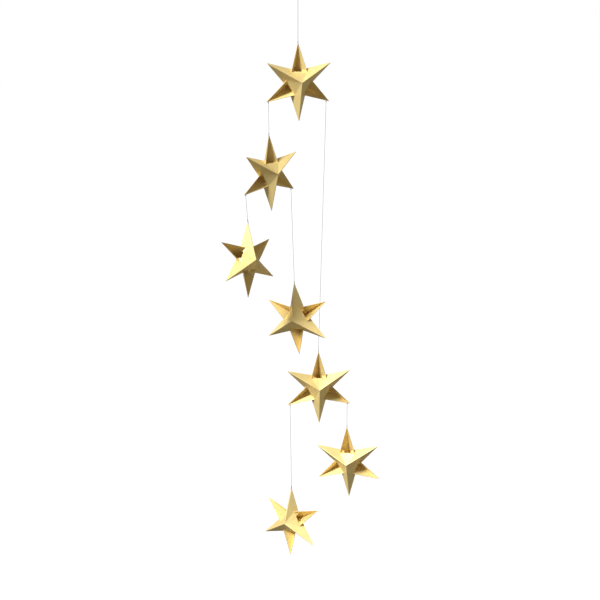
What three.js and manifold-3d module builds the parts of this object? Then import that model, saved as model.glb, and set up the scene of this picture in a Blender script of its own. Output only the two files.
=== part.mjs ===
// A hanging mobile: seven six-pointed stars of folded gold card on a tree of fine threads.
// Each star is two equal three-armed shells, folded from flat card, back to back and turned
// half a turn about the star's X axis, so that each arm stands in a gap of the other shell.
// The shells meet edge to edge on six short crossing lines, halfway between their arms.
// Units are millimetres and +Z is up. The origin is in the top of the hanging loop, on the
// line of the thread. A star faces -Y before it is turned.
import * as THREE from 'three';
import { mergeVertices } from 'three/addons/utils/BufferGeometryUtils.js';
import Module from 'manifold-3d';

// Star
const ARM_REACH = 40; // star's centre to an arm's tip
const APEX_HEIGHT = 12.6; // shell's point above the star's middle plane
const TIP_HEIGHT = 1.9; // shell's tips above the middle plane
const ARM_TO_CROSSING = 30; // degrees from an arm to the crossing line beside it
const CROSSING_REACH = 13.4; // star's centre to the middle of a crossing line
const NOTCH_REACH = 15.7; // star's centre to where an arm's free edge passes that direction
const SHOULDER = 2.1; // from a crossing line's middle to the web's corner, towards the arm
const WEB_REACH = 10.9; // star's centre to the middle of the open edge between two arms
const WEB_HEIGHT = 1.6; // that point above the middle plane
const CARD = 0.4; // thickness of the card
const SETBACK = 0.55; // edges stop this far outside the crossing lines: 0.3 mm from shell to shell

// Threads
const THREAD = 0.4; // diameter
const THREAD_SIDES = 8;
const THREAD_STEP = 6;
const KNOT = 1.3; // diameter
const HOLE_INSET = 3.5; // arm's tip to the hole that a lower thread hangs from
const KNOT_DROP = 2.4; // hole to the middle of the knot below it
const KNOT_RISE = 1; // top tip to the middle of the knot above it

// Hanging loop, from its top down
const LOOP_HALF_WIDTH = 3.5;
const LOOP_LENGTH = 17;
const LOOP_STEPS = 40;
const FIRST_TIP_DROP = 66; // loop's top to the first star's top tip

const GOLD = new THREE.MeshStandardMaterial({
  color: 0xd9b25c, metalness: 0.9, roughness: 0.35, flatShading: true,
});
const THREAD_GREY = new THREE.MeshStandardMaterial({ color: 0xd8d8d4, roughness: 0.8 });

const LEFT = 210; // angles of the arms that carry a lower star, seen from the star's front
const RIGHT = 330;
const UP = 90;

// turn: about the upright axis. lean: about the star's own X axis. sway: top tip to the right.
// thread: from the hole in the upper star's arm to this star's top tip. slant: its foot to the right.
const STARS = [
  { name: 'star_1', turn: 18.8, lean: 0.5, sway: 0 },
  { name: 'star_2', above: 'star_1', arm: LEFT, thread: 34.9, slant: 0.5, turn: 42.7, lean: 1.5, sway: -1 },
  { name: 'star_3', above: 'star_2', arm: LEFT, thread: 29, slant: 3.6, turn: 226.3, lean: 11, sway: 6 },
  { name: 'star_4', above: 'star_2', arm: RIGHT, thread: 104, slant: 1.9, turn: 154.8, lean: 3, sway: -4 },
  { name: 'star_5', above: 'star_1', arm: RIGHT, thread: 273.2, slant: -1.5, turn: 3.9, lean: 0, sway: -0.5 },
  { name: 'star_6', above: 'star_5', arm: RIGHT, thread: 29.5, slant: 0, turn: -12.5, lean: 0.5, sway: -2.5 },
  { name: 'star_7', above: 'star_5', arm: LEFT, thread: 98.2, slant: 0.8, turn: 143, lean: 4, sway: 0 },
];

const wasm = await Module();
wasm.setup();

const rad = THREE.MathUtils.degToRad;

// A point of the front shell: angle in the star's plane from +X, height towards -Y
function shellPoint(reach, angle, height) {
  return new THREE.Vector3(reach * Math.cos(rad(angle)), -height, reach * Math.sin(rad(angle)));
}

function toSolid(geometry) {
  const bare = geometry.index ? geometry.clone() : geometry;
  bare.deleteAttribute('normal');
  bare.deleteAttribute('uv');
  const merged = mergeVertices(bare, 1e-4);
  return new wasm.Manifold(new wasm.Mesh({
    numProp: 3,
    vertProperties: new Float32Array(merged.attributes.position.array),
    triVerts: new Uint32Array(merged.index.array),
  }));
}

function toGeometry(solid) {
  const mesh = solid.getMesh();
  const geometry = new THREE.BufferGeometry();
  geometry.setAttribute('position', new THREE.BufferAttribute(new Float32Array(mesh.vertProperties), 3));
  geometry.setIndex(new THREE.BufferAttribute(new Uint32Array(mesh.triVerts), 1));
  geometry.computeVertexNormals();
  return geometry;
}

// How steeply a wall rises from its crossing line's middle towards its arm
const tipAlong = ARM_REACH * Math.cos(rad(ARM_TO_CROSSING));
const tipAside = ARM_REACH * Math.sin(rad(ARM_TO_CROSSING));
const wallSlope = (TIP_HEIGHT - APEX_HEIGHT * (1 - tipAlong / CROSSING_REACH)) / tipAside;

// A point of the wall on one side of an arm: along the direction of the middle of its crossing
// line, and aside from it towards the arm. side: 1 anticlockwise of the arm, -1 clockwise.
function wallPoint(arm, side, along, aside) {
  const fromAxis = THREE.MathUtils.radToDeg(Math.atan2(aside, along));
  const height = APEX_HEIGHT * (1 - along / CROSSING_REACH) + wallSlope * aside;
  return shellPoint(Math.hypot(along, aside), arm + side * (ARM_TO_CROSSING - fromAxis), height);
}

// A wall's two corners on its crossing line: the end of its free edge, and the web's corner
const crossingAlong = CROSSING_REACH + SETBACK;
const freeEndAside = (tipAside * (crossingAlong - NOTCH_REACH)) / (tipAlong - NOTCH_REACH);
const webCornerAside = (SHOULDER * crossingAlong) / CROSSING_REACH;

// Corners of the shell's middle surface, with its point first and then anticlockwise round the
// outline, and its triangles: per arm two walls, and a web of two triangles to the next arm
function foldedSurface() {
  const points = [shellPoint(0, 0, APEX_HEIGHT)];
  const triangles = [];
  for (let i = 0; i < 3; i += 1) {
    const arm = 30 + 120 * i;
    const first = points.length;
    points.push(
      wallPoint(arm, -1, crossingAlong, webCornerAside),
      wallPoint(arm, -1, crossingAlong, freeEndAside),
      shellPoint(ARM_REACH, arm, TIP_HEIGHT),
      wallPoint(arm, 1, crossingAlong, freeEndAside),
      wallPoint(arm, 1, crossingAlong, webCornerAside),
      shellPoint(WEB_REACH, arm + 60, WEB_HEIGHT),
    );
    const [corner, end, tip, otherEnd, otherCorner, web] = [0, 1, 2, 3, 4, 5].map((k) => first + k);
    const nextCorner = i < 2 ? web + 1 : 1;
    triangles.push([0, corner, tip], [corner, end, tip]);
    triangles.push([0, tip, otherCorner], [tip, otherEnd, otherCorner]);
    triangles.push([0, otherCorner, web], [0, web, nextCorner]);
  }
  return { points, triangles };
}

// The shift that takes a corner half the card's thickness out of every face that meets at it,
// as nearly as one point can
function cornerShift(normals) {
  const products = new Array(9).fill(0);
  const pull = new THREE.Vector3();
  for (const normal of normals) {
    const n = normal.toArray();
    for (let i = 0; i < 9; i += 1) products[i] += n[Math.floor(i / 3)] * n[i % 3];
    pull.addScaledVector(normal, CARD / 2);
  }
  for (const i of [0, 4, 8]) products[i] += 1e-4; // picks the shortest shift where many would do
  return pull.applyMatrix3(new THREE.Matrix3().set(...products).invert());
}

// One shell: the folded surface given the card's thickness, half to each side
function starShell() {
  const { points, triangles } = foldedSurface();
  const normals = triangles.map(([a, b, c]) => new THREE.Triangle(points[a], points[b], points[c])
    .getNormal(new THREE.Vector3()));
  const skin = [];
  points.forEach((point, i) => {
    const shift = cornerShift(normals.filter((normal, k) => triangles[k].includes(i)));
    skin.push(point.clone().add(shift), point.clone().sub(shift));
  });
  const faces = [];
  for (const [a, b, c] of triangles) {
    faces.push(2 * a, 2 * b, 2 * c);
    faces.push(2 * a + 1, 2 * c + 1, 2 * b + 1);
  }
  for (let i = 1; i < points.length; i += 1) {
    const here = 2 * i;
    const next = i + 1 < points.length ? here + 2 : 2;
    faces.push(here, here + 1, next + 1);
    faces.push(here, next + 1, next);
  }
  const geometry = new THREE.BufferGeometry();
  geometry.setAttribute('position', new THREE.Float32BufferAttribute(skin.flatMap((p) => p.toArray()), 3));
  geometry.setIndex(faces);
  return toGeometry(toSolid(geometry));
}

// A knot is a small bead, with the thread ending in its middle
function knotAt(point) {
  const bead = new THREE.SphereGeometry(KNOT / 2, 10, 6);
  bead.translate(point.x, point.y, point.z);
  return toSolid(bead);
}

function threadAlong(curve, steps) {
  const section = new THREE.Shape();
  for (let i = 0; i < THREAD_SIDES; i += 1) {
    const angle = (2 * Math.PI * i) / THREAD_SIDES;
    const x = (THREAD / 2) * Math.cos(angle);
    const y = (THREAD / 2) * Math.sin(angle);
    if (i === 0) section.moveTo(x, y);
    else section.lineTo(x, y);
  }
  return toSolid(new THREE.ExtrudeGeometry(section, { extrudePath: curve, steps }));
}

function straightThread(from, to) {
  const steps = Math.ceil(from.distanceTo(to) / THREAD_STEP);
  return threadAlong(new THREE.LineCurve3(from, to), steps);
}

// The first thread ends in a drop-shaped loop tied with a knot
function hangingThread(tipKnot) {
  const loopKnot = new THREE.Vector3(0, 0, -LOOP_LENGTH);
  const loop = new THREE.CatmullRomCurve3([
    loopKnot,
    new THREE.Vector3(-0.7 * LOOP_HALF_WIDTH, 0, -0.62 * LOOP_LENGTH),
    new THREE.Vector3(-LOOP_HALF_WIDTH, 0, -0.25 * LOOP_LENGTH),
    new THREE.Vector3(0, 0, 0),
    new THREE.Vector3(LOOP_HALF_WIDTH, 0, -0.25 * LOOP_LENGTH),
    new THREE.Vector3(0.7 * LOOP_HALF_WIDTH, 0, -0.62 * LOOP_LENGTH),
    loopKnot.clone().add(new THREE.Vector3(0.05, 0, 0)),
  ]);
  return straightThread(loopKnot, tipKnot)
    .add(threadAlong(loop, LOOP_STEPS))
    .add(knotAt(loopKnot))
    .add(knotAt(tipKnot));
}

function addMesh(parent, name, geometry, material) {
  const mesh = new THREE.Mesh(geometry, material);
  mesh.name = name;
  parent.add(mesh);
  return mesh;
}

// The front shell's point faces the star's front. The back shell carries the threads, so its
// arms are the ones at UP, LEFT and RIGHT.
const topTip = shellPoint(ARM_REACH, UP, -TIP_HEIGHT);

function armHole(arm) {
  const ridgeFall = (APEX_HEIGHT - TIP_HEIGHT) * (HOLE_INSET / ARM_REACH);
  return shellPoint(ARM_REACH - HOLE_INSET, arm, -(TIP_HEIGHT + ridgeFall));
}

const mobile = new THREE.Group();
const shellGeometry = starShell();
const placed = {};

for (const { name, above, arm, thread, slant, turn, lean, sway } of STARS) {
  const star = new THREE.Group();
  star.rotation.set(rad(lean), rad(sway), rad(turn), 'YZX');
  star.updateMatrix();
  const tipOffset = topTip.clone().applyMatrix4(star.matrix);

  const tip = new THREE.Vector3(0, 0, -FIRST_TIP_DROP);
  const tipKnot = new THREE.Vector3();
  let hanger;
  if (above) {
    const hole = armHole(arm).applyMatrix4(placed[above].matrix);
    const knotBelow = hole.clone();
    knotBelow.z -= KNOT_DROP;
    tip.set(Math.sin(rad(slant)), 0, -Math.cos(rad(slant))).multiplyScalar(thread).add(hole);
    tipKnot.copy(tip).setZ(tip.z + KNOT_RISE);
    hanger = straightThread(knotBelow, tipKnot).add(knotAt(knotBelow)).add(knotAt(tipKnot));
  } else {
    tipKnot.copy(tip).setZ(tip.z + KNOT_RISE);
    hanger = hangingThread(tipKnot);
  }
  addMesh(mobile, `${name}_thread`, toGeometry(hanger), THREAD_GREY);

  star.position.copy(tip).sub(tipOffset);
  star.updateMatrix();
  placed[name] = star;
  addMesh(star, `${name}_front_shell`, shellGeometry, GOLD);
  addMesh(star, `${name}_back_shell`, shellGeometry, GOLD).rotation.x = Math.PI;
  mobile.add(star);
}

export default mobile;
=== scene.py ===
"""Dresses the hanging mobile of folded gold stars and sets the studio around it.

Every piece is built in millimetres in the frame of the CAD model and scaled to metres when its
mesh is made. A star's shell is worked out once, as a sheet of card with rounded folds and cut
slits, and placed twice in each star with slight bends of its own. Angles are in radians unless
a name or comment says degrees.
"""
import math

import bpy
import numpy as np
from mathutils import Matrix, Vector


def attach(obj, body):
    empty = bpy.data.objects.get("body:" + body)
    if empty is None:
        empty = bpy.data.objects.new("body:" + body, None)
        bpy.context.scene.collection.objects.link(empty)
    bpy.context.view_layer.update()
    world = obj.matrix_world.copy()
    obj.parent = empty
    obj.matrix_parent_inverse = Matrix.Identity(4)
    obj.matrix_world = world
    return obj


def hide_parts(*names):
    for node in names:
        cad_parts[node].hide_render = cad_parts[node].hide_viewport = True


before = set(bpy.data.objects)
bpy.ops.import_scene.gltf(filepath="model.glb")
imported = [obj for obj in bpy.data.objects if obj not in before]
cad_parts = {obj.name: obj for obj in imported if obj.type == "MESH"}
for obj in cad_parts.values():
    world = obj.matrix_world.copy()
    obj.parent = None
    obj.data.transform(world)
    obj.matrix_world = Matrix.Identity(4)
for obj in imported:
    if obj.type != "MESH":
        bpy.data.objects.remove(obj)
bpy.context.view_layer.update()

MM = 0.001  # metres in a millimetre

# ---- Sizes, as in the CAD model, in millimetres ----
ARM_REACH = 40  # star's centre to an arm's tip
APEX_HEIGHT = 12.6  # shell's point above the star's middle plane
TIP_HEIGHT = 1.9  # shell's tips above the middle plane
CROSSING_REACH = 13.4  # star's centre to the middle of a line where the two shells cross
NOTCH_REACH = 15.7  # star's centre to where an arm's free edge passes that direction
SHOULDER = 2.1  # from a crossing line's middle to the web's corner, towards the arm
WEB_REACH = 10.9  # star's centre to the middle of the open edge between two arms
WEB_HEIGHT = 1.6  # that point above the middle plane
CARD = 0.4  # thickness
THREAD = 0.4  # diameter
HOLE_INSET = 3.5  # arm's tip to the hole that a lower thread hangs from
KNOT_DROP = 2.4  # that hole to the middle of the knot below it
KNOT_RISE = 1  # a star's top tip to the middle of the knot above it
LOOP_HALF_WIDTH = 3.5
LOOP_LENGTH = 17
LOOP_ENDS_APART = 0.05  # where both run into the loop's knot
FIRST_TIP_DROP = 66  # loop's top to the first star's top tip

# ---- Angles in a star's plane, as seen from its front, anticlockwise from +X ----
FIRST_ARM = math.radians(30)  # the front shell's first arm
ARM_STEP = math.radians(120)  # from one arm of a shell to its next
ARM_TO_CROSSING = math.radians(30)
LEFT = math.radians(210)
RIGHT = math.radians(330)
UP = math.radians(90)

# turn: about the upright axis. lean: about the star's own X axis. sway: top tip to the right.
# thread: from the hole in the upper star's arm to this star's top tip. slant: its foot to the right.
# turn, lean, sway and slant are in degrees.
STARS = [
    dict(name="star_1", above=None, turn=18.8, lean=0.5, sway=0),
    dict(name="star_2", above="star_1", arm=LEFT, thread=34.9, slant=0.5, turn=42.7, lean=1.5, sway=-1),
    dict(name="star_3", above="star_2", arm=LEFT, thread=29, slant=3.6, turn=226.3, lean=11, sway=6),
    dict(name="star_4", above="star_2", arm=RIGHT, thread=104, slant=1.9, turn=154.8, lean=3, sway=-4),
    dict(name="star_5", above="star_1", arm=RIGHT, thread=273.2, slant=-1.5, turn=3.9, lean=0, sway=-0.5),
    dict(name="star_6", above="star_5", arm=RIGHT, thread=29.5, slant=0, turn=-12.5, lean=0.5, sway=-2.5),
    dict(name="star_7", above="star_5", arm=LEFT, thread=98.2, slant=0.8, turn=143, lean=4, sway=0),
]

# ---- Finer sizes that only the dressed model has, in millimetres ----
FOLD_RADIUS = 0.38  # roundness of a fold
SLIT_WIDTH = 0.56
SLIT_LENGTH = 7
SLIT_BREADTH = 3
SLIT_OVERRUN = 0.12  # each slit runs this far past the middle of its crossing line
ARM_BEND = 0.3  # most that an arm's tip is bent forward or back
WALL_BOW = 0.12  # most that the middle of an arm is bowed
TOP_HOLE_INSET = 2.2  # top tip to the pin hole that the star's own thread is tied through
KNOT = 1.25  # across
PLY_PITCH = 1.5  # length of a full twist of the two strands
STRAND_OFFSET = 0.24 * THREAD  # thread's middle to a strand's middle
STRAND_RADIUS = 0.29 * THREAD
TIED_RADIUS = 0.42 * THREAD  # pulled tight in knots and round the card's edge
BIGHT_OVERRUN = 0.6 * THREAD  # a tied turn of thread reaches this far past its hole
LOWER_BIGHT_SPREAD = 1.1 * THREAD
UPPER_BIGHT_SPREAD = 1.6 * THREAD
TWIST_STEP = PLY_PITCH / 8  # between points along a twisted thread


def shell_point(reach, angle, height):
    """A point of the front shell, with its height towards -Y."""
    return Vector((reach * math.cos(angle), -height, reach * math.sin(angle)))


def new_object(name, vertices, faces, materials=(), smooth=False):
    """A mesh object from points in millimetres."""
    mesh = bpy.data.meshes.new(name)
    mesh.from_pydata((np.asarray(vertices, float) * MM).tolist(), [], [tuple(f) for f in faces])
    for material in materials:
        mesh.materials.append(material)
    mesh.polygons.foreach_set("use_smooth", [smooth] * len(mesh.polygons))
    mesh.update()
    obj = bpy.data.objects.new(name, mesh)
    bpy.context.scene.collection.objects.link(obj)
    return obj


# ---- Camera ----
CAMERA_AT = (2.1, -1311.6, -46)  # millimetres
CAMERA_DOWN = 12.5  # degrees below the horizon
CAMERA_LENS = 75

camera_data = bpy.data.cameras.new("camera")
camera_data.lens = CAMERA_LENS
camera_data.sensor_width = 36
camera = bpy.data.objects.new("camera", camera_data)
camera.location = Vector(CAMERA_AT) * MM
camera.rotation_euler = (math.radians(90 - CAMERA_DOWN), 0, 0)
bpy.context.scene.collection.objects.link(camera)
bpy.context.scene.camera = camera


# ---- Places ----
def star_turn(star):
    """The star's rotation: its lean, then its turn, then its sway."""
    lean = Matrix.Rotation(math.radians(star["lean"]), 4, "X")
    turn = Matrix.Rotation(math.radians(star["turn"]), 4, "Z")
    sway = Matrix.Rotation(math.radians(star["sway"]), 4, "Y")
    return sway @ turn @ lean


def ridge_height(reach):
    """Height of an arm's ridge above the star's middle plane."""
    return APEX_HEIGHT + (TIP_HEIGHT - APEX_HEIGHT) * reach / ARM_REACH


def place_stars():
    """Each star's matrix, and its thread's upper hole, top tip and lower hole."""
    placed = {}
    for star in STARS:
        matrix = star_turn(star)
        if star["above"]:
            reach = ARM_REACH - HOLE_INSET
            upper = placed[star["above"]]["matrix"] @ shell_point(reach, star["arm"], -ridge_height(reach))
            slant = math.radians(star["slant"])
            tip = upper + Vector((math.sin(slant), 0, -math.cos(slant))) * star["thread"]
        else:
            upper = Vector((0, 0, 0))
            tip = Vector((0, 0, -FIRST_TIP_DROP))
        matrix = Matrix.Translation(tip - matrix @ shell_point(ARM_REACH, UP, -TIP_HEIGHT)) @ matrix
        reach = ARM_REACH - TOP_HOLE_INSET
        lower = matrix @ shell_point(reach, UP, -ridge_height(reach))
        placed[star["name"]] = dict(matrix=matrix, upper=upper, tip=tip, lower=lower)
    return placed


PLACED = place_stars()


# ---- Materials ----
class Nodes:
    """A short way to write a node tree."""

    def __init__(self, tree):
        self.tree = tree
        tree.nodes.clear()

    def add(self, kind, **values):
        node = self.tree.nodes.new(kind)
        for name, value in values.items():
            setattr(node, name, value)
        return node

    def link(self, source, target):
        self.tree.links.new(source, target)


def new_material(name):
    material = bpy.data.materials.new(name)
    material.use_nodes = True
    return material, Nodes(material.node_tree)


def noise(nodes, coordinates, scale, detail, roughness=0.5):
    node = nodes.add("ShaderNodeTexNoise")
    node.inputs["Scale"].default_value = scale
    node.inputs["Detail"].default_value = detail
    node.inputs["Roughness"].default_value = roughness
    nodes.link(coordinates, node.inputs["Vector"])
    return node.outputs["Fac"]


def spread_between(nodes, value, low, high, from_low=0.3, from_high=0.7):
    """A noise value, whose range is mostly 0.3 to 0.7, as a value from low to high."""
    node = nodes.add("ShaderNodeMapRange")
    for name, number in (("From Min", from_low), ("From Max", from_high), ("To Min", low), ("To Max", high)):
        node.inputs[name].default_value = number
    nodes.link(value, node.inputs["Value"])
    return node.outputs["Result"]


GOLD = (0.90, 0.71, 0.30, 1)
GOLD_DEEP = (0.87, 0.67, 0.26, 1)
# pale gold for the ridge folds: worn foil and a painted highlight
GOLD_WORN_AND_HIGHLIGHT = (0.93, 0.77, 0.40, 1)
GOLD_METALNESS = 0.5
GOLD_ROUGHNESS = (0.48, 0.56)
CARD_CORE = ((0.45, 0.33, 0.15, 1), (0.66, 0.51, 0.27, 1))
THREAD_GREY = ((0.07, 0.07, 0.07, 1), (0.12, 0.12, 0.118, 1))

# Noise scales, per metre
CLOUDS = 140
GRAIN = 2600
CORE_FIBRES = 3000
THREAD_SLUBS = 900
THREAD_FIBRES = 6000


def two_tone(nodes, value, colours):
    """A mix of two colours by a value."""
    mix = nodes.add("ShaderNodeMix", data_type="RGBA")
    mix.inputs["A"].default_value, mix.inputs["B"].default_value = colours
    nodes.link(value, mix.inputs["Factor"])
    return mix.outputs["Result"]


def roughened(nodes, shader, height, strength, depth):
    """Fine bumps on a shader's surface; depth in metres."""
    bump = nodes.add("ShaderNodeBump")
    bump.inputs["Strength"].default_value = strength
    bump.inputs["Distance"].default_value = depth
    nodes.link(height, bump.inputs["Height"])
    nodes.link(bump.outputs["Normal"], shader.inputs["Normal"])


def principled(nodes):
    """The tree's one shader and the object's own coordinates."""
    out = nodes.add("ShaderNodeOutputMaterial")
    shader = nodes.add("ShaderNodeBsdfPrincipled")
    nodes.link(shader.outputs["BSDF"], out.inputs["Surface"])
    return shader, nodes.add("ShaderNodeTexCoord").outputs["Object"]


def gold_card_material():
    """Satin gold foil on card: a fine grain, cloudy rubbing, and paler foil along the ridge folds, partly
    worn foil and partly a painted highlight.
    """
    material, nodes = new_material("gold_card")
    shader, place = principled(nodes)
    clouds = noise(nodes, place, CLOUDS, 4)
    grain = noise(nodes, place, GRAIN, 3, 0.6)
    tone = two_tone(nodes, spread_between(nodes, clouds, 0.2, 1), (GOLD_DEEP, GOLD))

    # Paler foil along the ridges, broken up by the grain: worn foil and a painted highlight.
    ridge_wear_and_highlight = nodes.add("ShaderNodeMath", operation="MULTIPLY")
    wear_and_highlight_share = nodes.add("ShaderNodeAttribute", attribute_name="wear_and_highlight_share")
    nodes.link(wear_and_highlight_share.outputs["Fac"], ridge_wear_and_highlight.inputs[0])
    nodes.link(spread_between(nodes, grain, 0.15, 0.8), ridge_wear_and_highlight.inputs[1])
    colour = nodes.add("ShaderNodeMix", data_type="RGBA")
    nodes.link(ridge_wear_and_highlight.outputs["Value"], colour.inputs["Factor"])
    nodes.link(tone, colour.inputs["A"])
    colour.inputs["B"].default_value = GOLD_WORN_AND_HIGHLIGHT
    nodes.link(colour.outputs["Result"], shader.inputs["Base Color"])

    shader.inputs["Metallic"].default_value = GOLD_METALNESS
    nodes.link(spread_between(nodes, clouds, *GOLD_ROUGHNESS), shader.inputs["Roughness"])
    roughened(nodes, shader, grain, 0.25, 0.00003)
    return material


def card_edge_material():
    """The cut edge: pale card between two skins of gold."""
    material, nodes = new_material("card_edge")
    shader, place = principled(nodes)
    colour = two_tone(nodes, noise(nodes, place, CORE_FIBRES, 3), CARD_CORE)
    nodes.link(colour, shader.inputs["Base Color"])
    shader.inputs["Metallic"].default_value = 0.3
    shader.inputs["Roughness"].default_value = 0.6
    return material


def thread_material():
    """Grey twisted thread with a little sheen and slubs of tone."""
    material, nodes = new_material("thread")
    shader, place = principled(nodes)
    colour = two_tone(nodes, noise(nodes, place, THREAD_SLUBS, 3), THREAD_GREY)
    nodes.link(colour, shader.inputs["Base Color"])
    shader.inputs["Roughness"].default_value = 0.65
    shader.inputs["Sheen Weight"].default_value = 0.3
    roughened(nodes, shader, noise(nodes, place, THREAD_FIBRES, 2), 0.4, 0.00002)
    return material


GOLD_CARD = gold_card_material()
CARD_EDGE = card_edge_material()
THREAD_STUFF = thread_material()


# ---- Threads ----
def resample(points, step):
    """Points about a step apart along a line through these points."""
    points = np.array([tuple(p) for p in points], float)
    along = np.concatenate([[0], np.cumsum(np.linalg.norm(np.diff(points, axis=0), axis=1))])
    at = np.linspace(0, along[-1], max(3, int(round(along[-1] / step)) + 1))
    return np.stack([np.interp(at, along, points[:, k]) for k in range(3)], axis=1)


def smooth_curve(points, per_span=12, closed=False):
    """A Catmull-Rom curve through the points."""
    p = [np.array(tuple(q), float) for q in points]
    if closed:
        p = [p[-1], *p, p[0], p[1]]
    else:
        p = [2 * p[0] - p[1], *p, 2 * p[-1] - p[-2]]
    out = []
    for a, b, c, d in zip(p, p[1:], p[2:], p[3:]):
        for t in np.arange(per_span) / per_span:
            out.append(
                0.5
                * (2 * b + (c - a) * t + (2 * a - 5 * b + 4 * c - d) * t**2 + (3 * b - a - 3 * c + d) * t**3)
            )
    if not closed:
        out.append(p[-2])
    return np.array(out)


def frames_along(line, closed=False):
    """Two unit vectors across the line at each of its points, without needless twist."""
    if closed:
        ahead = np.roll(line, -1, axis=0) - np.roll(line, 1, axis=0)
    else:
        ahead = np.gradient(line, axis=0)
    ahead /= np.linalg.norm(ahead, axis=1)[:, None]
    side = np.cross(ahead[0], (0.3, 1, 0.2))
    sides = []
    for direction in ahead:
        side = side - direction * np.dot(side, direction)
        side /= np.linalg.norm(side)
        sides.append(side)
    sides = np.array(sides)
    return sides, np.cross(ahead, sides)


TUBE_SIDES = 6
END_TAPER = 0.6  # an open tube's end, as a share of its radius


def tube(line, radius, closed=False):
    """Vertices and faces of a round tube along a line."""
    sides = TUBE_SIDES
    u, v = frames_along(line, closed)
    count = len(line)
    ring = 2 * math.pi * np.arange(sides) / sides
    taper = np.ones(count)
    if not closed:
        taper[0] = taper[-1] = END_TAPER
    vertices = (
        line[:, None, :]
        + radius * taper[:, None, None] * (np.cos(ring)[None, :, None] * u[:, None, :])
        + radius * taper[:, None, None] * (np.sin(ring)[None, :, None] * v[:, None, :])
    ).reshape(-1, 3)
    faces = []
    for i in range(count if closed else count - 1):
        for j in range(sides):
            here = i * sides
            there = ((i + 1) % count) * sides
            k = (j + 1) % sides
            faces.append((here + j, here + k, there + k, there + j))
    if not closed:
        faces.append(tuple(range(sides - 1, -1, -1)))
        faces.append(tuple((count - 1) * sides + j for j in range(sides)))
    return vertices, faces


def joined(parts):
    """Several vertex and face lists as one."""
    vertices, faces, start = [], [], 0
    for part_vertices, part_faces in parts:
        vertices.append(part_vertices)
        faces.extend(tuple(i + start for i in face) for face in part_faces)
        start += len(part_vertices)
    return np.concatenate(vertices), faces


def two_ply(line):
    """Two strands twisted round each other along a line."""
    u, v = frames_along(line)
    steps = np.concatenate([[0], np.cumsum(np.linalg.norm(np.diff(line, axis=0), axis=1))])
    parts = []
    for phase in (0, math.pi):
        angle = 2 * math.pi * steps / PLY_PITCH + phase
        strand = line + STRAND_OFFSET * (np.cos(angle)[:, None] * u + np.sin(angle)[:, None] * v)
        parts.append(tube(strand, STRAND_RADIUS))
    return joined(parts)


TREFOIL_POINTS = 48
TREFOIL_REACH = 3  # of the curve below before it is scaled
TREFOIL_DEPTH = 1.6


def knot_mesh(centre):
    """A pulled-tight overhand knot: a trefoil of thread."""
    t = 2 * math.pi * np.arange(TREFOIL_POINTS) / TREFOIL_POINTS
    trefoil = np.stack(
        [np.sin(t) + 2 * np.sin(2 * t), np.cos(t) - 2 * np.cos(2 * t), -TREFOIL_DEPTH * np.sin(3 * t)],
        axis=1,
    )
    line = np.array(tuple(centre)) + trefoil * (KNOT - THREAD) / 2 / TREFOIL_REACH
    return tube(line, TIED_RADIUS, closed=True)


def thread_piece(name, line, bights, knot_centres):
    """One thread, twisted along its line and tied through its pin holes, with its knots as a piece on it."""
    vertices, faces = joined([two_ply(line), *bights])
    piece = new_object(f"{name}_thread_twist", vertices, faces, [THREAD_STUFF], smooth=True)
    vertices, faces = joined([knot_mesh(centre) for centre in knot_centres])
    knots = new_object(f"{name}_thread_knots", vertices, faces, [THREAD_STUFF], smooth=True)
    for obj in (piece, knots):
        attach(obj, "root")
    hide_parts(f"{name}_thread")


def bight(knot_at, hole, spread):
    """The turn of thread from a knot through a pin hole and back, spread to either side on its way."""
    middle = (knot_at + hole) / 2
    beyond = hole + (hole - knot_at).normalized() * BIGHT_OVERRUN
    ring = smooth_curve([knot_at, middle + spread, beyond, middle - spread], 8, closed=True)
    return tube(ring, TIED_RADIUS, closed=True)


HANGING_LOOP = [
    (0, 0, -LOOP_LENGTH),
    (-0.7 * LOOP_HALF_WIDTH, 0, -0.62 * LOOP_LENGTH),
    (-LOOP_HALF_WIDTH, 0, -0.25 * LOOP_LENGTH),
    (0, 0, 0),
    (LOOP_HALF_WIDTH, 0, -0.25 * LOOP_LENGTH),
    (0.7 * LOOP_HALF_WIDTH, 0, -0.62 * LOOP_LENGTH),
    (LOOP_ENDS_APART, 0, -LOOP_LENGTH),
]

for star in STARS:
    place = PLACED[star["name"]]
    tip_knot = place["tip"] + Vector((0, 0, KNOT_RISE))
    spread = place["matrix"].to_3x3() @ Vector((0, LOWER_BIGHT_SPREAD, 0))
    bights = [bight(tip_knot, place["lower"], spread)]
    if star["above"]:
        other_knot = place["upper"] - Vector((0, 0, KNOT_DROP))
        spread = PLACED[star["above"]]["matrix"].to_3x3() @ Vector((0, UPPER_BIGHT_SPREAD, 0))
        bights.append(bight(other_knot, place["upper"], spread))
        line = resample([other_knot, tip_knot], TWIST_STEP)
    else:
        other_knot = Vector(HANGING_LOOP[0])
        loop = [tuple(p) for p in smooth_curve(HANGING_LOOP)]
        line = resample([tip_knot, *loop], TWIST_STEP)
    thread_piece(star["name"], line, bights, [tip_knot, other_knot])


# ---- Shells ----
# Each half of an arm is a flat wall. It is described in the frame of its crossing line: along the
# direction from the star's centre to the line's middle, and aside from there towards the arm.
TIP_ALONG = ARM_REACH * math.cos(ARM_TO_CROSSING)
TIP_ASIDE = ARM_REACH * math.sin(ARM_TO_CROSSING)
WALL_SLOPE = (TIP_HEIGHT - APEX_HEIGHT * (1 - TIP_ALONG / CROSSING_REACH)) / TIP_ASIDE
FREE_END_ASIDE = TIP_ASIDE * (CROSSING_REACH - NOTCH_REACH) / (TIP_ALONG - NOTCH_REACH)


def wall_height(along, aside):
    return APEX_HEIGHT * (1 - along / CROSSING_REACH) + WALL_SLOPE * aside


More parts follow.
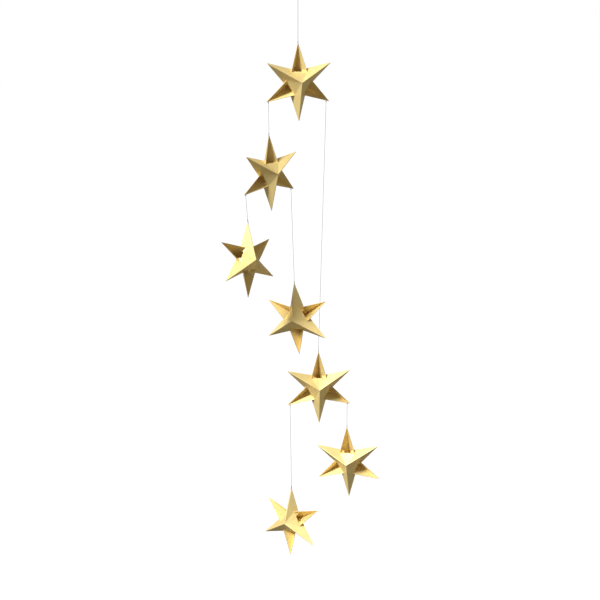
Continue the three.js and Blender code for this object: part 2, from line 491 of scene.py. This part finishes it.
# Between two arms lies a nearly flat web. It is described by how far a point is out towards the
# middle between the arms and how far across from there.
CORNER_REACH = math.hypot(CROSSING_REACH, SHOULDER)
CORNER_OFF_MIDDLE = ARM_STEP / 2 - ARM_TO_CROSSING + math.atan2(SHOULDER, CROSSING_REACH)
CORNER_ACROSS = CORNER_REACH * math.sin(CORNER_OFF_MIDDLE)
CORNER_OUT = CORNER_REACH * math.cos(CORNER_OFF_MIDDLE)
WEB_EDGE_SLOPE = (CORNER_OUT - WEB_REACH) / CORNER_ACROSS
WEB_SLOPE_OUT = (WEB_HEIGHT - APEX_HEIGHT) / WEB_REACH
CORNER_FALL = wall_height(CROSSING_REACH, SHOULDER) - APEX_HEIGHT
WEB_SLOPE_ACROSS = (CORNER_FALL - WEB_SLOPE_OUT * CORNER_OUT) / CORNER_ACROSS

# Angles from an arm. A wall runs on behind the web's edge as far as the end of its free edge.
FREE_END = ARM_TO_CROSSING + math.atan2(-FREE_END_ASIDE, CROSSING_REACH)
WEB_ALONE = FREE_END + math.radians(1.8)
WEB_EDGE_END = FREE_END + math.radians(3)
RIDGE_SIDES = math.radians(15)  # within this the folded foil is painted pale, as worn foil and a highlight


def from_nearest_arm(x, z):
    """Angle between a point of the star's plane and the shell's nearest arm."""
    return np.abs((np.arctan2(z, x) - FIRST_ARM + ARM_STEP / 2) % ARM_STEP - ARM_STEP / 2)


def fold_height(x, z):
    """Height of the sharply folded sheet over a point of the star's plane."""
    reach = np.hypot(x, z)
    from_arm = from_nearest_arm(x, z)
    from_crossing = ARM_TO_CROSSING - from_arm
    wall = wall_height(reach * np.cos(from_crossing), reach * np.sin(from_crossing))
    across = reach * np.sin(ARM_STEP / 2 - from_arm)
    out = reach * np.cos(ARM_STEP / 2 - from_arm)
    web = APEX_HEIGHT + WEB_SLOPE_OUT * out + WEB_SLOPE_ACROSS * across
    within_edge = out < WEB_REACH + WEB_EDGE_SLOPE * across
    return np.where((web > wall) & (within_edge | (from_arm > WEB_ALONE)), web, wall)


def rounded_height(x, z):
    """The same, averaged over a small disc, which rounds every fold."""
    total, count = fold_height(x, z), 1
    for radius, points in ((FOLD_RADIUS, 12), (FOLD_RADIUS / 2, 6)):
        for i in range(points):
            a = 2 * math.pi * i / points
            total = total + fold_height(x + radius * math.cos(a), z + radius * math.sin(a))
            count += 1
    return total / count


# The mesh is a wheel of rings and spokes. These are where its spokes end along the three parts of
# the outline from an arm's tip to the middle between two arms, as shares of each part. They stand
# closer together beside the folds.
ALONG_FREE_EDGE = [0, 0.015, 0.035, 0.06, 0.1, 0.17, 0.27, 0.38, 0.5, 0.6, 0.67, 0.73, 0.755, 0.78,
                   0.81, 0.85, 0.89, 0.93, 0.965]
ALONG_EAR = [0, 0.33, 0.67]
ALONG_WEB_EDGE = [0, 0.2, 0.4, 0.6, 0.8]
RINGS = 34
SLOPE_STEP = 0.02  # to either side of a point, to find the sheet's slope there
PALE_AT = 0.12  # a fold rounded down by this much gets the palest worn foil and painted highlight


def half_outline():
    """Outline from an arm's tip to the middle between two arms, as reach and angle from the arm."""
    off_middle = ARM_STEP / 2 - WEB_EDGE_END
    web_end_reach = WEB_REACH / (math.cos(off_middle) - WEB_EDGE_SLOPE * math.sin(off_middle))
    corners = [
        (ARM_REACH, 0),
        (math.hypot(CROSSING_REACH, FREE_END_ASIDE), FREE_END),
        (web_end_reach, WEB_EDGE_END),
        (WEB_REACH, ARM_STEP / 2),
    ]
    flat = [Vector((reach * math.cos(angle), reach * math.sin(angle))) for reach, angle in corners]
    line = []
    for start, end, shares in zip(flat, flat[1:], (ALONG_FREE_EDGE, ALONG_EAR, ALONG_WEB_EDGE)):
        line += [start.lerp(end, share) for share in shares]
    line.append(flat[-1])
    return [(p.length, math.atan2(p.y, p.x)) for p in line]


def shell_outline():
    """The whole outline, anticlockwise, in the star's plane."""
    half = half_outline()
    mirrored = half[-2:0:-1]
    outline = []
    for i in range(3):
        arm = FIRST_ARM + ARM_STEP * i
        outline += [shell_point(reach, arm + off, 0) for reach, off in half]
        outline += [shell_point(reach, arm + ARM_STEP - off, 0) for reach, off in mirrored]
    return outline


def wheel_faces(spokes):
    """Faces of a sheet with two skins and a rim, and each face's material: skin 0, rim 1."""
    back = 1 + RINGS * spokes  # the back skin's first vertex
    faces = []
    for j in range(spokes):
        k = (j + 1) % spokes
        faces.append((0, 1 + j, 1 + k))
        faces.append((back, back + 1 + k, back + 1 + j))
        for ring in range(RINGS - 1):
            a = 1 + ring * spokes
            b = a + spokes
            faces.append((a + j, b + j, b + k, a + k))
            faces.append((back + a + j, back + a + k, back + b + k, back + b + j))
    slots = [0] * len(faces)
    edge = 1 + (RINGS - 1) * spokes
    for j in range(spokes):
        k = (j + 1) % spokes
        faces.append((edge + j, back + edge + j, back + edge + k, edge + k))
        slots.append(1)
    return faces, slots


def shell_sheet():
    """The shell before its slits: vertices, faces, each face's material and each vertex's share of pale worn
    foil and painted highlight on the ridges.
    """
    outline = shell_outline()
    plan = [(0.0, 0.0)]
    for ring in range(1, RINGS + 1):
        share = ring / RINGS
        plan += [(p.x * share, p.z * share) for p in outline]
    x, z = np.array(plan).T
    height = rounded_height(x, z)
    slope_x = (rounded_height(x + SLOPE_STEP, z) - rounded_height(x - SLOPE_STEP, z)) / (2 * SLOPE_STEP)
    slope_z = (rounded_height(x, z + SLOPE_STEP) - rounded_height(x, z - SLOPE_STEP)) / (2 * SLOPE_STEP)
    normal = np.stack([-slope_x, -np.ones_like(x), -slope_z], axis=1)
    normal /= np.linalg.norm(normal, axis=1)[:, None]
    middle = np.stack([x, -height, z], axis=1)
    vertices = np.concatenate([middle + normal * CARD / 2, middle - normal * CARD / 2])
    # Pale along the rounded ridges only: worn foil and a painted highlight.
    wear_and_highlight_share = np.clip((fold_height(x, z) - height) / PALE_AT, 0, 1) * (from_nearest_arm(x, z) < RIDGE_SIDES)
    faces, slots = wheel_faces(len(outline))
    return vertices, faces, slots, np.concatenate([wear_and_highlight_share, wear_and_highlight_share])


def slit_at_zero():
    """Corners and faces of a box over the slit whose crossing line is at angle 0.

    The wall's arm is at FIRST_ARM. The other shell's wall is its mirror through a half turn about
    X, so the two cross on a line that meets the X axis at right angles.
    """
    apex = shell_point(0, 0, APEX_HEIGHT)
    tip = shell_point(ARM_REACH, FIRST_ARM, TIP_HEIGHT)
    middle = shell_point(CROSSING_REACH, 0, 0)
    normal = (middle - apex).cross(tip - apex).normalized()
    other_normal = Vector((normal.x, -normal.y, -normal.z))
    along = normal.cross(other_normal).normalized()
    if along.y < 0:  # towards the wall's free edge, away from the shell's point
        along = -along
    across = other_normal.cross(along)
    corners = [
        middle + along * a + other_normal * b + across * c
        for a in (-SLIT_OVERRUN, SLIT_LENGTH - SLIT_OVERRUN)
        for b in (-SLIT_WIDTH / 2, SLIT_WIDTH / 2)
        for c in (-SLIT_BREADTH / 2, SLIT_BREADTH / 2)
    ]
    faces = [(0, 1, 3, 2), (4, 6, 7, 5), (0, 4, 5, 1), (2, 3, 7, 6), (0, 2, 6, 4), (1, 5, 7, 3)]
    return corners, faces


def slit_boxes():
    """Six boxes where the other shell's walls pass through this one: a mirror pair at each arm."""
    corners, faces = slit_at_zero()
    arm_to_zero = Matrix.Rotation(FIRST_ARM, 3, "Y")
    parts = []
    for side in (1, -1):
        mirror = Matrix.Diagonal((1, 1, side))
        side_faces = faces if side > 0 else [face[::-1] for face in faces]
        for i in range(3):
            to_arm = Matrix.Rotation(-FIRST_ARM - ARM_STEP * i, 3, "Y")
            place = to_arm @ mirror @ arm_to_zero
            parts.append((np.array([tuple(place @ corner) for corner in corners]), side_faces))
    return joined(parts)


def cut_shell():
    """The shell with its slits cut, as a mesh that every star copies."""
    vertices, faces, slots, wear_and_highlight_share = shell_sheet()
    shell = new_object("shell_pattern", vertices, faces, [GOLD_CARD, CARD_EDGE])
    shell.data.polygons.foreach_set("material_index", slots)
    # The ridges' pale share, worn foil and painted highlight, carried to the gold material.
    attribute = shell.data.attributes.new("wear_and_highlight_share", "FLOAT", "POINT")
    attribute.data.foreach_set("value", wear_and_highlight_share)
    vertices, faces = slit_boxes()
    cutter = new_object("slit_cutter", vertices, faces, [CARD_EDGE])
    modifier = shell.modifiers.new("slits", "BOOLEAN")
    modifier.object = cutter
    modifier.operation = "DIFFERENCE"
    modifier.solver = "EXACT"
    modifier.material_mode = "TRANSFER"
    evaluated = shell.evaluated_get(bpy.context.evaluated_depsgraph_get())
    mesh = bpy.data.meshes.new_from_object(evaluated)
    bpy.data.objects.remove(shell)
    bpy.data.objects.remove(cutter)
    return mesh


SHELL = cut_shell()


def bent(points, rng):
    """Slight bends that folding leaves: each arm a little forward or back, and bowed."""
    x, y, z = points.T
    reach = np.hypot(x, z) / ARM_REACH
    angle = np.arctan2(z, x)
    moved = np.zeros_like(y)
    for i in range(3):
        nearness = np.clip(2 * np.cos(angle - FIRST_ARM - ARM_STEP * i) - 1, 0, 1)
        moved += nearness * reach**2 * rng.uniform(-ARM_BEND, ARM_BEND)
        bow = np.sin(np.pi * np.clip(reach, 0, 1)) * reach
        moved += nearness * bow * rng.uniform(-WALL_BOW, WALL_BOW)
    return np.stack([x, y + moved, z], axis=1)


def shell_piece(name, matrix, rng):
    """A copy of the shell with its own bends, at its place in a star."""
    mesh = SHELL.copy()
    mesh.name = name
    points = np.empty(len(mesh.vertices) * 3)
    mesh.vertices.foreach_get("co", points)
    points = bent(points.reshape(-1, 3) / MM, rng)
    turn = np.array(matrix.to_3x3())
    points = points @ turn.T + np.array(matrix.translation)
    mesh.vertices.foreach_set("co", (points * MM).ravel())
    mesh.update()
    piece = bpy.data.objects.new(name, mesh)
    bpy.context.scene.collection.objects.link(piece)
    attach(piece, "root")
    return piece


HALF_TURN = Matrix.Rotation(math.pi, 4, "X")
rng = np.random.default_rng(7)
for star in STARS:
    matrix = PLACED[star["name"]]["matrix"]
    for side, placing in (("front", matrix), ("back", matrix @ HALF_TURN)):
        piece = shell_piece(f"{star['name']}_{side}_card", placing, rng)
        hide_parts(f"{star['name']}_{side}_shell")


# ---- Studio ----
FLOOR_LEVEL = -1600  # millimetres; far enough down that the stars' shadows fall out of view
FLOOR_RADIUS = 30000
FLOOR_CORNERS = 48
FLOOR_COLOUR = (0.68, 0.68, 0.69, 1)
ROOM_BRIGHTER_TOWARDS = (0.08, 0.04, 0.03)
ROOM_LEVEL = 0.28
ROOM_DARKEST = 0.08
ROOM_TINT = (1.0, 0.98, 0.95, 1)
BACKDROP = (1, 1, 1, 1)
KEY_AZIMUTH = -48  # degrees from the viewer's side, positive to the right
KEY_ELEVATION = 44  # degrees
KEY_STRENGTH = 5.6
KEY_BREADTH = 14  # degrees


def studio_floor():
    """A plain pale disc that lights nothing, so that facets facing down stay dark."""
    round_it = 2 * math.pi * np.arange(FLOOR_CORNERS) / FLOOR_CORNERS
    corners = [(FLOOR_RADIUS * math.cos(a), FLOOR_RADIUS * math.sin(a), FLOOR_LEVEL) for a in round_it]
    material, nodes = new_material("floor")
    out = nodes.add("ShaderNodeOutputMaterial")
    paint = nodes.add("ShaderNodeBsdfDiffuse")
    paint.inputs["Color"].default_value = FLOOR_COLOUR
    nodes.link(paint.outputs["BSDF"], out.inputs["Surface"])
    floor = new_object("floor", corners, [tuple(range(FLOOR_CORNERS))], [material])
    floor.visible_glossy = False
    floor.visible_diffuse = False


def studio_world():
    """A room a little brighter to the back, to the right and above; the camera sees plain white."""
    world = bpy.data.worlds.new("studio")
    bpy.context.scene.world = world
    world.use_nodes = True
    nodes = Nodes(world.node_tree)
    out = nodes.add("ShaderNodeOutputWorld")
    direction = nodes.add("ShaderNodeTexCoord").outputs["Generated"]
    lean = nodes.add("ShaderNodeVectorMath", operation="DOT_PRODUCT")
    nodes.link(direction, lean.inputs[0])
    lean.inputs[1].default_value = ROOM_BRIGHTER_TOWARDS
    level = nodes.add("ShaderNodeMath", operation="ADD")
    nodes.link(lean.outputs["Value"], level.inputs[0])
    level.inputs[1].default_value = ROOM_LEVEL
    kept = nodes.add("ShaderNodeMath", operation="MAXIMUM")
    nodes.link(level.outputs["Value"], kept.inputs[0])
    kept.inputs[1].default_value = ROOM_DARKEST
    room = nodes.add("ShaderNodeBackground")
    room.inputs["Color"].default_value = ROOM_TINT
    nodes.link(kept.outputs["Value"], room.inputs["Strength"])
    behind = nodes.add("ShaderNodeBackground")
    behind.inputs["Color"].default_value = BACKDROP
    mix = nodes.add("ShaderNodeMixShader")
    nodes.link(nodes.add("ShaderNodeLightPath").outputs["Is Camera Ray"], mix.inputs["Fac"])
    nodes.link(room.outputs["Background"], mix.inputs[1])
    nodes.link(behind.outputs["Background"], mix.inputs[2])
    nodes.link(mix.outputs["Shader"], out.inputs["Surface"])


def key_light():
    """A broad distant light from the upper left, on the viewer's side."""
    data = bpy.data.lights.new("key", "SUN")
    data.energy = KEY_STRENGTH
    data.angle = math.radians(KEY_BREADTH)
    light = bpy.data.objects.new("key", data)
    a, e = math.radians(KEY_AZIMUTH), math.radians(KEY_ELEVATION)
    towards = Vector((math.sin(a) * math.cos(e), -math.cos(a) * math.cos(e), math.sin(e)))
    light.rotation_euler = towards.to_track_quat("Z", "Y").to_euler()
    bpy.context.scene.collection.objects.link(light)


studio_floor()
studio_world()
key_light()
bpy.context.scene.view_settings.view_transform = "Standard"
